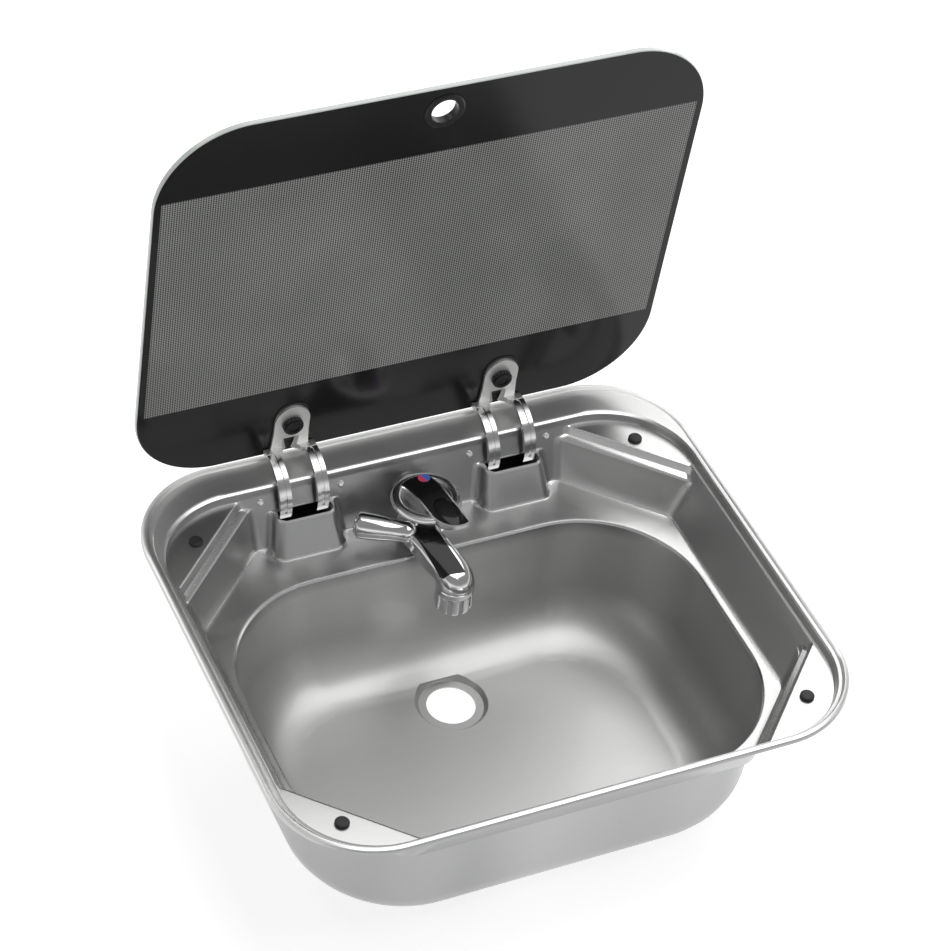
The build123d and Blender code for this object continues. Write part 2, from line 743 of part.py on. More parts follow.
def aerator_insert():
    """The perforated jet disc inside the nozzle."""
    top = level(NOSE_TOP_DEPTH + 8)
    plate = Pos(0, 0, top) * Cylinder(11.5, 3.0)
    for radius, count in ((4.0, 6), (8.0, 12)):
        for step in range(count):
            angle = math.radians(360 * step / count)
            spot = Pos(radius * math.cos(angle), radius * math.sin(angle), top)
            plate = plate - spot * Cylinder(0.9, 6)
    return Pos(NOSE_X, NOSE_Y, 0) * solid_of(plate)


def cartridge_sleeve():
    sleeve = revolved([
        (9.05, level(32.95)), (16.95, level(32.95)), (16.95, level(20.6)), (9.05, level(20.6)),
    ])
    return at_tap(0, 0) * sleeve


def cartridge_nut():
    """The threaded ring that clamps the cartridge in the body."""
    ring = revolved([
        (12.0, level(20.4)), (16.8, level(20.4)), (16.8, level(18.6)), (12.0, level(18.6)),
    ])
    for angle in (0, 90, 180, 270):
        ring = ring - Rot(0, 0, angle) * Pos(15.2, 0, level(18.6)) * Box(2.0, 3.0, 1.6)
    return at_tap(0, 0) * solid_of(ring)


def cartridge_spindle():
    """The turning spindle: a round shank and a fork that carries the lever's pin."""
    shank = Pos(0, 0, level(26.5)) * Cylinder(9.0, 12.0)
    fork = Pos(0, 0, level(17.6)) * Box(15.6, 9.0, 5.8)
    fork = fork & Pos(0, 0, level(17.6)) * Cylinder(8.8, 8)
    spindle = shank + fork
    spindle = spindle - Pos(0, 0, level(16.9)) * Box(7.7, 12.0, 8.6)
    pin = Pos(0, 0, level(LEVER_AXIS_DEPTH)) * Rot(0, 90, 0) * Cylinder(LEVER_PIN_RADIUS, 30)
    return at_tap(0, 0) * solid_of(spindle - pin)


def lever_pin():
    pin = Pos(0, 0, level(LEVER_AXIS_DEPTH)) * Rot(0, 90, 0) * Cylinder(LEVER_PIN_RADIUS, 15.4)
    return at_tap(0, 0) * pin


BAR_TOP = (
    # (towards the rear, depth)
    (21.5, 9.8), (15.0, 8.6), (8.0, 7.3), (0.0, 6.7), (-7.0, 7.3), (-14.0, 8.6),
    (-21.0, 10.0), (-29.0, 11.4), (-38.5, 12.9),
)
BAR_UNDER = (
    (-38.5, 15.6), (-30.0, 16.4), (-25.5, 15.6), (-21.5, 13.6), (-12.0, 13.0), (21.5, 12.8),
)


def bar_side():
    """The lever bar's side outline: an arched top and a stepped underside."""
    crown = Spline(*[(y, level(depth)) for y, depth in BAR_TOP])
    under = Polyline(*[(y, level(depth)) for y, depth in BAR_UNDER])
    ends = [Line(crown @ 1, under @ 0), Line(under @ 1, crown @ 0)]
    return make_face([*crown.edges(), *under.edges(), *ends[0].edges(), *ends[1].edges()])


def bar_plan(inset):
    """The bar from above: one square and one well rounded front corner, an arc behind."""
    left, right = BAR_LEFT + inset, BAR_RIGHT - inset
    front = inset - LEVER_REACH
    face = polygon((left, front), (right, front), (right, 30), (left, 30))
    for x, radius in ((left, BAR_FRONT_RADIUS), (right, 2.6)):
        vertex = face.vertices().sort_by_distance(Vertex(x, front, 0))[0]
        face = fillet(vertex, radius - inset)
    face = face & (Circle(BAR_REAR_RADIUS - inset) + Pos(0, -30) * Rectangle(80, 60))
    return Pos(0, 0, level(30)) * extrude(face, amount=40)


def bar_skin(drop_from, drop_to):
    """The layer between two drops below the bar's top surface."""
    side = extrude(Plane.YZ.offset(-20) * bar_side(), amount=40)
    layer = Pos(0, 0, -drop_from) * side - Pos(0, 0, -drop_to) * side
    return layer & Pos(0, 0, level(1)) * Box(60, 90, 25)


def lever_dome():
    """The round cover with a broad chrome ring round a shallow dish."""
    base = level(DOME_BASE_DEPTH)
    crest = level(RING_DEPTH)
    return revolved([
        (0, level(13.6)), (19.0, level(13.4)), (22.0, level(13.0)), (23.6, base),
        (DOME_RADIUS - 0.4, base), (DOME_RADIUS, base + 0.6), (DOME_RADIUS, base + 1.4),
        (25.1, base + 2.6), (24.2, crest - 0.5), (22.8, crest - 0.1), (RING_RADIUS, crest),
        (20.0, crest - 0.1), (19.0, crest - 0.6), (18.4, crest - 1.4), (16.0, crest - 2.0),
        (0, crest - 2.2),
    ])


def lever_button():
    """The oval domed cap in the front of the bar."""
    place = Pos(BUTTON_X, -BUTTON_REACH, level(BUTTON_DEPTH + 2.4)) * Rot(10.5, 0, 0)
    return place * scale(Sphere(10.0), by=(0.92, 1.36, 0.24))


def lever_parts():
    """The domed handle with its tongue, and the glossy pieces let into its bar."""
    bar = extrude(Plane.YZ.offset(-20) * bar_side(), amount=40) & bar_plan(0)
    axle = Pos(0, 0, level(LEVER_AXIS_DEPTH)) * Rot(0, 90, 0)
    tongue = Pos(0, 0, level(14.9)) * Box(7.0, 6.4, 11.4)
    tongue = tongue - Pos(0, 0, level(LEVER_AXIS_DEPTH) - 6) * Box(9, 9, 12)
    handle = lever_dome() + bar + tongue + axle * Cylinder(3.1, 7.0)
    handle = handle - axle * Cylinder(LEVER_PIN_RADIUS + RUNNING_GAP, 30)
    handle = handle - (bar_plan(EDGE_WIDTH) & bar_skin(-0.3, 0.6))
    inlay = bar_plan(EDGE_WIDTH + 0.05) & bar_skin(0.05, 0.55)
    button = lever_button() & bar_plan(EDGE_WIDTH + 0.1)
    button = button - handle - bar_skin(0.0, 0.6)
    face_place = Pos(DOT_X, -DOT_REACH, level(8.2)) * Rot(-9.5, 0, 0)
    dots = []
    for turn in (0, 180):
        half = make_face([
            *CenterArc((0, 0), DOT_RADIUS, 90 + turn, 180).edges(),
            *Line((0, DOT_RADIUS), (0, -DOT_RADIUS)).edges(),
        ])
        dots.append(face_place * extrude(half, amount=0.5))
        handle = handle - dots[-1]
        inlay = inlay - dots[-1]
    pieces = {
        "lever_handle": solid_of(handle),
        "lever_inlay": solid_of(inlay),
        "lever_button": solid_of(button),
        "dot_hot": dots[0],
        "dot_cold": dots[1],
    }
    return {name: at_tap(0, 0) * shape for name, shape in pieces.items()}


# ---- write every node ---------------------------------------------------------------
def write(name, shape):
    shape.label = name
    export_step(shape, os.path.join("parts", name + ".step"))


def main():
    os.makedirs("parts", exist_ok=True)
    outer_form = cavity(SHEET)
    inner_form = cavity(0)
    nodes = {"sink_bowl": sink_bowl(outer_form, inner_form), "rim_seal": rim_seal()}
    places = (
        ("rear_left", -BUMPER_REAR[0], BUMPER_REAR[1]),
        ("rear_right", BUMPER_REAR[0], BUMPER_REAR[1]),
        ("front_left", -BUMPER_FRONT[0], BUMPER_FRONT[1]),
        ("front_right", BUMPER_FRONT[0], BUMPER_FRONT[1]),
    )
    for name, x, y in places:
        nodes["lid_bumper_" + name] = bumper(x, y)
    back_form = cavity(SHEET + 0.1)
    for name, side in (("left", -1), ("right", 1)):
        centre = side * HINGE_X
        nodes["hinge_housing_" + name] = hinge_housing(centre, back_form)
        nodes["hinge_rivets_" + name] = hinge_rivets(centre)
        nodes["hinge_pin_" + name] = hinge_pin(centre)
        nodes["hinge_arm_outer_" + name] = hinge_arm(centre + side * ARM_OFFSET)
        nodes["hinge_arm_inner_" + name] = hinge_arm(centre - side * ARM_OFFSET)
        nodes["hinge_plate_" + name] = hinge_plate(centre)
        nodes["hinge_gasket_" + name] = hinge_gasket(centre)
        nodes["hinge_cap_" + name] = hinge_cap(centre)
        nodes["hinge_outer_disc_" + name] = hinge_outer_disc(centre)
    nodes["lid_glass"] = lid_glass()
    nodes["finger_grommet"] = finger_grommet()
    body = tap_body(stem_form(STEM_RADIUS, STEM_LENGTH))
    arm = tap_arm(body)
    nodes["tap_body"] = body
    nodes["tap_arm"] = arm
    nodes["tap_end_cap"] = tap_end_cap()
    nodes["tap_stem"] = tap_stem()
    nodes["tap_rosette"] = tap_rosette()
    nodes["tap_seal"] = tap_seal()
    nodes["tap_washer"] = tap_washer()
    nodes["tap_nut"] = tap_nut()
    nodes["spout"] = spout(body, arm)
    nodes["spout_inlay_rear"] = spout_inlay(109.0, INLAY_SEAM_Y + 0.15, 36.0, arm)
    nodes["spout_inlay_front"] = spout_inlay(INLAY_SEAM_Y - 0.15, 63.4, 39.6, arm)
    nodes["aerator_housing"] = aerator_housing()
    nodes["aerator_insert"] = aerator_insert()
    nodes["cartridge_sleeve"] = cartridge_sleeve()
    nodes["cartridge_nut"] = cartridge_nut()
    nodes["cartridge_spindle"] = cartridge_spindle()
    nodes["lever_pin"] = lever_pin()
    nodes.update(lever_parts())
    for name, shape in nodes.items():
        write(name, shape)


main()
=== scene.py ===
import bmesh
import bpy
import json
import math
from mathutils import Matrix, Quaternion, Vector


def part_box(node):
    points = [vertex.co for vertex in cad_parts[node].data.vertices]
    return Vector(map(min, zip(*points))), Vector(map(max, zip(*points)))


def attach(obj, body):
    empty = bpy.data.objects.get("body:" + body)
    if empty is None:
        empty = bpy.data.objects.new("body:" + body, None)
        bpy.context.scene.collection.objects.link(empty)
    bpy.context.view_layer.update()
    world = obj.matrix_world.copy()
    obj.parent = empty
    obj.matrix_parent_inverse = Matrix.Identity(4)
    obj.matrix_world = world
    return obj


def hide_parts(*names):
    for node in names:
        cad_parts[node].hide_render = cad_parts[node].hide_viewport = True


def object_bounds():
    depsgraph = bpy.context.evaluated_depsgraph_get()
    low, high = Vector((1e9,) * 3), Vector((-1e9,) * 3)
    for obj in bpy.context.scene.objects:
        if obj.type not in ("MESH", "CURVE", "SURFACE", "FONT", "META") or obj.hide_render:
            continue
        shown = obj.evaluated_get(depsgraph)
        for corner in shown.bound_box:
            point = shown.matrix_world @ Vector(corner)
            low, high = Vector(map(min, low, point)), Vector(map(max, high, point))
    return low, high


# Looks of a drop-in sink with a hinged glass lid and a single-lever tap, around the CAD frame.
# Metres: +X right, +Y rear, +Z up, origin at the middle of the worktop cut-out.

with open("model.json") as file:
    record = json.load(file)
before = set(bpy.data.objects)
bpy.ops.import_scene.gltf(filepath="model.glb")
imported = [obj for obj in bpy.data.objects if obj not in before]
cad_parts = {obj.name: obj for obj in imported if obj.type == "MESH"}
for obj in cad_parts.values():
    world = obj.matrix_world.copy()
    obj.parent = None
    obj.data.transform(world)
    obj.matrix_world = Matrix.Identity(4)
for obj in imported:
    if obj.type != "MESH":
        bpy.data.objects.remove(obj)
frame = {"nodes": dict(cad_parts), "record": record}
cad_low, cad_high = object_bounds()
NODES = frame["nodes"]
SLOT_OF = {entry["node"]: entry["material_slot"] for entry in frame["record"]["subparts"]}
BODY_OF = {node: body for body, group in frame["record"]["behaviour"]["bodies"].items()
           for node in group}

# The open lid's inner face: the middle of its foot, and the ways up along it and out of it.
LID_LEAN = math.radians(5.93)
LID_FOOT = Vector((0, 0.1802, 0.008))
LID_UP = Vector((0, -math.sin(LID_LEAN), math.cos(LID_LEAN)))
LID_FACE = Vector((0, -math.cos(LID_LEAN), -math.sin(LID_LEAN)))
ORIGIN = Vector((0, 0, 0))
FULL_TURN = 2 * math.pi


# ---- camera -------------------------------------------------------------------------
# Fitted to the rim's outline and the four buffers in the photograph, in degrees and metres.
CAMERA_PLACE = Vector((-0.7623, -1.35162, 1.56051))
CAMERA_AZIMUTH = 28.618
CAMERA_DIP = 42.938
CAMERA_ROLL = 7.146
LENS_MM = 121.09
CLIP_NEAR, CLIP_FAR = 0.1, 20


def make_camera():
    data = bpy.data.cameras.new("camera")
    data.lens = LENS_MM
    data.clip_start = CLIP_NEAR
    data.clip_end = CLIP_FAR
    turn, dip = math.radians(CAMERA_AZIMUTH), math.radians(CAMERA_DIP)
    ahead = Vector((math.sin(turn) * math.cos(dip), math.cos(turn) * math.cos(dip), -math.sin(dip)))
    roll = Quaternion((0, 0, 1), math.radians(CAMERA_ROLL))
    camera = bpy.data.objects.new("camera", data)
    camera.location = CAMERA_PLACE
    camera.rotation_mode = "QUATERNION"
    camera.rotation_quaternion = ahead.to_track_quat("-Z", "Y") @ roll
    bpy.context.scene.collection.objects.link(camera)
    bpy.context.scene.camera = camera


# ---- node helpers -------------------------------------------------------------------
class Graph:
    """Short calls for the node tree of one material or world."""

    def __init__(self, owner):
        owner.use_nodes = True
        self.tree = owner.node_tree
        self.tree.nodes.clear()

    def feed(self, socket, value):
        """Links another socket to this one, or sets it to a number, a vector or a colour."""
        if isinstance(value, bpy.types.NodeSocket):
            self.tree.links.new(value, socket)
        elif socket.type == "RGBA":
            socket.default_value = (*value, 1)
        else:
            socket.default_value = value

    def add(self, kind, feeds=(), **settings):
        """A new node with these settings, and its inputs fed by name or by number."""
        node = self.tree.nodes.new(kind)
        for name, value in settings.items():
            setattr(node, name, value)
        for key, value in dict(feeds).items():
            self.feed(node.inputs[key], value)
        return node

    def math(self, operation, *values, clamp=False):
        feeds = enumerate(values)
        return self.add("ShaderNodeMath", feeds, operation=operation, use_clamp=clamp).outputs[0]

    def vector(self, operation, first, second, result="Vector"):
        feeds = {0: first, 1: second}
        return self.add("ShaderNodeVectorMath", feeds, operation=operation).outputs[result]

    def parts(self, vector):
        """The outputs X, Y and Z of a vector."""
        return self.add("ShaderNodeSeparateXYZ", {"Vector": vector}).outputs

    def noise(self, coords, scale, detail=2.0):
        feeds = {"Vector": coords, "Scale": scale, "Detail": detail}
        return self.add("ShaderNodeTexNoise", feeds).outputs["Fac"]

    def stretched_noise(self, coords, stretch, detail):
        """Noise with a scale of its own along each axis."""
        feeds = {"Vector": coords, "Scale": stretch}
        stretched = self.add("ShaderNodeMapping", feeds).outputs["Vector"]
        return self.noise(stretched, 1.0, detail)

    def spread(self, value, low, high, start=0.0, stop=1.0, kind="LINEAR"):
        """The values from start to stop, laid over low to high and held there outside."""
        feeds = {"Value": value, "From Min": start, "From Max": stop, "To Min": low, "To Max": high}
        return self.add("ShaderNodeMapRange", feeds, interpolation_type=kind).outputs["Result"]

    def mix(self, share, first, second):
        """The first colour, with that share of the second."""
        feeds = {"Factor": share, "A": first, "B": second}
        return self.add("ShaderNodeMix", feeds, data_type="RGBA").outputs["Result"]

    def bump(self, height, strength, distance):
        feeds = {"Height": height, "Strength": strength, "Distance": distance}
        return self.add("ShaderNodeBump", feeds).outputs["Normal"]

    def above(self, value, limit, steepness):
        """A mask that rises from 0 at the limit to 1 a stretch of 1 / steepness above it."""
        return self.math("MULTIPLY", self.math("SUBTRACT", value, limit), steepness, clamp=True)

    def below(self, value, limit, steepness):
        """A mask that rises from 0 at the limit to 1 a stretch of 1 / steepness below it."""
        return self.math("MULTIPLY", self.math("SUBTRACT", limit, value), steepness, clamp=True)

    def near(self, value, middle, reach, steepness):
        """A mask round a middle value, which is 0 beyond that reach."""
        off = self.math("ABSOLUTE", self.math("SUBTRACT", value, middle))
        return self.below(off, reach, steepness)

    def both(self, first, second):
        return self.math("MULTIPLY", first, second)

    def but_not(self, mask, other):
        return self.both(mask, self.math("SUBTRACT", 1.0, other))


class Surface(Graph):
    """A material of one Principled shader, whose sockets are fed with drive.

    A socket that is driven later keeps its plain value underneath, as its nearest constant.
    """

    def __init__(self, name, colour, metallic, roughness):
        self.material = bpy.data.materials.new(name)
        super().__init__(self.material)
        self.shader = self.add("ShaderNodeBsdfPrincipled")
        self.drive("Base Color", colour)
        self.drive("Metallic", metallic)
        self.drive("Roughness", roughness)
        self.add("ShaderNodeOutputMaterial", {"Surface": self.shader.outputs["BSDF"]})
        self.coords = self.add("ShaderNodeTexCoord").outputs["Object"]

    def drive(self, socket, value):
        self.feed(self.shader.inputs[socket], value)


# ---- the pressing's finish, with a painted highlight and painted shade --------------
# The rim lies above the first height. The edge round the bowl starts at the second, just
# under the flat ledge, and the bowl lies below the third. No fold gets its painted highlight
# below the fourth.
RIM_LOW = -0.004
EDGE_TOP = -0.0433
BOWL_TOP = -0.0465
FOLD_LOW = -0.0485
# The Z of the sheet's normal in the middle of a fold, and how far to both sides its painted highlight
# reaches.
FOLD_RISE, FOLD_REACH = 0.76, 0.24
EDGE_RISE, EDGE_REACH = 0.6, 0.4
# A face looks forward once the Y of its normal is below this, and how much painted shade darkens it
# then.
FORWARD = -0.6
FORWARD_SHADE = 0.8

# Scales of the sheet's noises along X, Y and Z, and the way along which it was brushed.
BRUSH_STRETCH = (60, 2600, 2600)
WIPE_STRETCH = (14, 46, 30)
STREAK_STRETCH = (9, 9, 1.5)
BRUSH_WAY = {"X": 1.0, "Y": 0.02}

STEEL = (0.6, 0.6, 0.596)
STEEL_DARKER = (0.53, 0.53, 0.526)
STEEL_LIGHTER = (0.61, 0.61, 0.606)
# The colour of the highlight painted along the folds.
PAINTED_FOLD_HIGHLIGHT = (0.93, 0.93, 0.925)
# The colour of the shade painted on the bowl's outside and on faces that look forward.
PAINTED_SHADE_COLOUR = (0.32, 0.322, 0.325)
# Roughness of the ledge and walls, and what grain and place add to it.
SATIN_LOW, SATIN_HIGH = 0.29, 0.35
GRAIN = 0.03
RIM_ROUGHER, BOWL_ROUGHER, FOLD_ROUGHER = 0.12, 0.14, -0.12


def fold_highlight_mask(g, rise, height):
    """Where a highlight is painted along the sheet's bends above the bowl and on the rounded edge
    round the bowl.
    """
    fold_highlight = g.near(rise, FOLD_RISE, FOLD_REACH, steepness=12.0)
    edge = g.near(rise, EDGE_RISE, EDGE_REACH, steepness=8.0)
    edge = g.both(edge, g.below(height, EDGE_TOP, steepness=3000.0))
    fold_highlight = g.math("MAXIMUM", fold_highlight, edge)
    return g.both(fold_highlight, g.above(height, FOLD_LOW, steepness=400.0))


def painted_shade_mask(g, normal, forward, in_bowl, fold_highlight):
    """Painted shade: streaks down the bowl's outside, and the faces above the bowl that look forward.
    """
    from_axis = g.vector("MULTIPLY", g.coords, (1, 1, 0))
    outward = g.vector("DOT_PRODUCT", normal, from_axis, result="Value")
    outside = g.both(g.above(outward, 0.0, steepness=60.0), in_bowl)
    streak = g.stretched_noise(g.coords, STREAK_STRETCH, detail=1.0)
    shade_streaks = g.math("MULTIPLY", outside, g.spread(streak, -0.1, 1.3), clamp=True)
    facing = g.but_not(g.but_not(g.below(forward, FORWARD, steepness=5.0), in_bowl), fold_highlight)
    return g.math("MAXIMUM", shade_streaks, g.math("MULTIPLY", facing, FORWARD_SHADE))


def pressed_steel():
    """Satin sheet, finer on the ledge than in the bowl and smoother along its folds, with a painted
    highlight along the folds and painted shade on some faces.
    """
    g = Surface("pressed_steel", STEEL, 1.0, 0.34)
    g.drive("Coat Weight", 0.4)
    g.drive("Coat Roughness", 0.1)
    g.drive("Anisotropic", 0.4)
    g.drive("Anisotropic Rotation", 0.25)
    g.drive("Tangent", g.add("ShaderNodeCombineXYZ", BRUSH_WAY).outputs["Vector"])

    brush = g.stretched_noise(g.coords, BRUSH_STRETCH, detail=3.0)
    wipe = g.stretched_noise(g.coords, WIPE_STRETCH, detail=4.0)
    cloud = g.noise(g.coords, scale=18.0, detail=3.0)
    normal = g.add("ShaderNodeNewGeometry").outputs["Normal"]
    lean = g.parts(normal)
    height = g.parts(g.coords)["Z"]
    on_rim = g.above(height, RIM_LOW, steepness=400.0)
    in_bowl = g.below(height, BOWL_TOP, steepness=120.0)
    fold_highlight = fold_highlight_mask(g, lean["Z"], height)

    rough = g.spread(cloud, SATIN_LOW, SATIN_HIGH)
    for grain in (brush, wipe):
        rough = g.math("ADD", rough, g.spread(grain, -GRAIN, GRAIN))
    for mask, change in ((on_rim, RIM_ROUGHER), (in_bowl, BOWL_ROUGHER), (fold_highlight, FOLD_ROUGHER)):
        rough = g.math("ADD", rough, g.math("MULTIPLY", mask, change))
    g.drive("Roughness", rough)

    # The folds are painted lighter here, as a highlight.
    grain_and_highlight = g.mix(fold_highlight, g.mix(brush, STEEL_DARKER, STEEL_LIGHTER), PAINTED_FOLD_HIGHLIGHT)
    # Shade is painted into the colour here, in streaks on the bowl's outside and on faces that look
    # forward.
    g.drive("Base Color", g.mix(painted_shade_mask(g, normal, lean["Y"], in_bowl, fold_highlight), grain_and_highlight, PAINTED_SHADE_COLOUR))
    g.drive("Normal", g.bump(brush, strength=0.06, distance=0.0002))
    return g.material


# ---- the other materials ------------------------------------------------------------
def satin_metal(name, colour, roughness):
    g = Surface(name, colour, 1.0, roughness)
    grain = g.noise(g.coords, scale=1800.0)
    g.drive("Roughness", g.spread(grain, roughness - 0.05, roughness + 0.05))
    g.drive("Normal", g.bump(grain, strength=0.08, distance=0.0002))
    return g.material


def polished_metal(name, colour, roughness=0.06):
    g = Surface(name, colour, 1.0, roughness)
    wave = g.noise(g.coords, scale=60.0)
    g.drive("Roughness", g.spread(wave, roughness - 0.02, roughness + 0.05))
    return g.material


def black_gloss(name, roughness=0.08):
    g = Surface(name, (0.010, 0.010, 0.011), 0.0, roughness)
    g.drive("Specular IOR Level", 0.3)
    wave = g.noise(g.coords, scale=90.0)
    g.drive("Roughness", g.spread(wave, roughness, roughness + 0.06))
    return g.material


def matt(name, colour, roughness=0.6):
    g = Surface(name, colour, 0.0, roughness)
    grain = g.noise(g.coords, scale=1500.0)
    g.drive("Normal", g.bump(grain, strength=0.25, distance=0.0003))
    darker, lighter = [c * 0.8 for c in colour], [c * 1.2 for c in colour]
    g.drive("Base Color", g.mix(grain, darker, lighter))
    return g.material


def enamel(name, colour):
    return Surface(name, colour, 0.0, 0.25).material


# The field of dots on the lid: its half width, and from where to where it goes up the glass.
FIELD_HALF_WIDTH = 0.1925
FIELD_LOW, FIELD_HIGH = 0.067, 0.271
# A dot lies where a wave across and one up the glass, added, are above this floor.
DOT_PITCH = 0.00175
DOT_FLOOR = -0.55
DOT_STEEPNESS = 1.4
PRINT_BLACK = (0.014, 0.014, 0.015)
PRINT_GREY = (0.29, 0.298, 0.288)
PRINT_PALE = (0.48, 0.49, 0.475)


def lid_print():
    """Dark screen-printed glass with a field of fine dots between two plain borders."""
    g = Surface("lid_print", (0.02, 0.02, 0.02), 0.0, 0.16)
    g.drive("Specular IOR Level", 0.22)
    from_foot = g.vector("SUBTRACT", g.coords, LID_FOOT)
    across = g.parts(from_foot)["X"]
    up = g.vector("DOT_PRODUCT", from_foot, LID_UP, result="Value")

    off_middle = g.math("ABSOLUTE", g.math("SUBTRACT", up, (FIELD_LOW + FIELD_HIGH) / 2))
    in_width = g.math("LESS_THAN", g.math("ABSOLUTE", across), FIELD_HALF_WIDTH)
    in_height = g.math("LESS_THAN", off_middle, (FIELD_HIGH - FIELD_LOW) / 2)
    waves = [g.math("COSINE", g.math("MULTIPLY", way, FULL_TURN / DOT_PITCH)) for way in (across, up)]
    dots = g.above(g.math("ADD", *waves), DOT_FLOOR, DOT_STEEPNESS)
    dots = g.both(dots, g.both(in_width, in_height))

    cloud = g.noise(g.coords, scale=9.0, detail=3.0)
    pale = g.mix(g.spread(cloud, -0.2, 1.2), PRINT_GREY, PRINT_PALE)
    g.drive("Base Color", g.mix(dots, PRINT_BLACK, pale))
    return g.material


def glass_edge():
    g = Surface("glass_edge", (0.55, 0.58, 0.56), 0.0, 0.2)
    g.drive("Coat Weight", 0.4)
    g.drive("Coat Roughness", 0.05)
    grain = g.noise(g.coords, scale=700.0)
    g.drive("Roughness", g.spread(grain, 0.15, 0.3))
    return g.material


# ---- paint on the CAD nodes ---------------------------------------------------------
# A face of the glass belongs to its ground edge where the cosine of its lean from the flat
# sides is below this.
EDGE_COSINE = 0.9


def make_looks():
    """One material for each material slot of the record."""
    return {
        "pressed_steel": pressed_steel(),
        "seal_foam": matt("seal_foam", (0.05, 0.05, 0.05)),
        "buffer_rubber": matt("buffer_rubber", (0.02, 0.02, 0.02)),
        "housing_plastic": matt("housing_plastic", (0.055, 0.055, 0.058), 0.4),
        "black_plastic": black_gloss("black_plastic", 0.25),
        "rivet_metal": satin_metal("rivet_metal", (0.95, 0.95, 0.95), 0.3),
        "pin_steel": satin_metal("pin_steel", (0.5, 0.5, 0.5), 0.3),
        "bright_metal": polished_metal("bright_metal", (0.74, 0.74, 0.74), 0.16),
        "plate_metal": satin_metal("plate_metal", (0.9, 0.9, 0.89), 0.5),
        "lid_glass": lid_print(),
        "tap_chrome": polished_metal("tap_chrome", (0.78, 0.78, 0.79)),
        "tap_black": black_gloss("tap_black"),
        "tap_brass": satin_metal("tap_brass", (0.7, 0.5, 0.25), 0.3),
        "dot_red": enamel("dot_red", (0.75, 0.1, 0.2)),
        "dot_blue": enamel("dot_blue", (0.1, 0.2, 0.7)),
    }


def paint(node, material):
    materials = NODES[node].data.materials
    materials.clear()
    materials.append(material)


def paint_all():
    looks = make_looks()
    for node in NODES:
        paint(node, looks[SLOT_OF[node]])
    # The lever's chrome is a copy of the tap's, painted lighter so that its ring looks brighter, and
    # rougher.
    paint("lever_handle", polished_metal("lever_chrome_lightened", (0.9, 0.9, 0.9), 0.2))

    glass = NODES["lid_glass"].data
    glass.materials.append(glass_edge())
    for polygon in glass.polygons:
        if abs(polygon.normal.dot(LID_FACE)) < EDGE_COSINE:
            polygon.material_index = 1


# ---- new meshes ---------------------------------------------------------------------
# Lengths in metres, angles in degrees, and the strength of a face's area in its normals.
WELD = 2e-6
FLAT_ANGLE = 0.5
SEAM_ANGLE = 30.0
SINK_SEAM_ANGLE = 26.0
ROUNDED_SEAM_ANGLE = 40.0
ROUNDING_STEPS = 3
ARM_ROUNDING = 0.0008
NOZZLE_ROUNDING = 0.0007
COPY_WEIGHT, NEW_WEIGHT = 80, 50

SMOOTH_NODES = ("spout", "tap_arm", "tap_body", "lever_handle", "lever_inlay", "lever_button",
                "spout_inlay_front", "spout_inlay_rear", "finger_grommet")
ROUNDED_NODES = [node for node in NODES if node.startswith("hinge_arm")]


def shade(work, sharpest):
    """Smooth shading, with a sharp seam at each edge that turns by more than that angle."""
    for face in work.faces:
        face.smooth = True
    for edge in work.edges:
        if len(edge.link_faces) != 2 or edge.calc_face_angle(0.0) > math.radians(sharpest):
            edge.smooth = False


def add_piece(name, work, materials):
    mesh = bpy.data.meshes.new(name)
    work.to_mesh(mesh)
    work.free()
    for material in materials:
        mesh.materials.append(material)
    piece = bpy.data.objects.new(name, mesh)
    bpy.context.scene.collection.objects.link(piece)
    return piece


def round_and_even(piece, rounding, sharpest, weight):
    """Rounds the edges above that angle, where asked, and evens out the normals."""
    if rounding:
        bevel = piece.modifiers.new("rounding", "BEVEL")
        bevel.width = rounding
        bevel.segments = ROUNDING_STEPS
        bevel.limit_method = "ANGLE"
        bevel.angle_limit = math.radians(sharpest)
    even = piece.modifiers.new("even", "WEIGHTED_NORMAL")
    even.keep_sharp = True
    even.weight = weight


def smooth_copy(node, sharpest, rounding=0.0):
    """Shows a welded copy of a CAD node's mesh, shaded smooth up to a seam of that angle.

    With a rounding, its flat faces are merged and its sharp edges get that radius.
    """
    source = NODES[node]
    work = bmesh.new()
    work.from_mesh(source.data)
    bmesh.ops.remove_doubles(work, verts=work.verts, dist=WELD)
    if rounding:
        bmesh.ops.dissolve_limit(work, angle_limit=math.radians(FLAT_ANGLE), verts=work.verts,
                                 edges=work.edges)
    shade(work, sharpest)
    skin = add_piece(node + "_skin", work, source.data.materials)
    skin.matrix_world = source.matrix_world.copy()
    round_and_even(skin, rounding, sharpest, COPY_WEIGHT)
    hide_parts(node)
    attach(skin, BODY_OF[node])


def shown(name, work, node, place=ORIGIN, rounding=0.0):
    """Shows a new mesh on the body of a CAD node, with that node's material and slot."""
    bmesh.ops.recalc_face_normals(work, faces=work.faces)
    shade(work, SEAM_ANGLE)
    piece = add_piece(name, work, NODES[node].data.materials)
    piece.location = place
    round_and_even(piece, rounding, ROUNDED_SEAM_ANGLE, NEW_WEIGHT)
    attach(piece, BODY_OF[node])
    return piece


def arc(middle_x, middle_y, radius, start, stop, steps):
    """Points along an arc, both its ends among them."""
    angles = [start + (stop - start) * step / steps for step in range(steps + 1)]
    return [(middle_x + radius * math.cos(angle), middle_y + radius * math.sin(angle))
            for angle in angles]


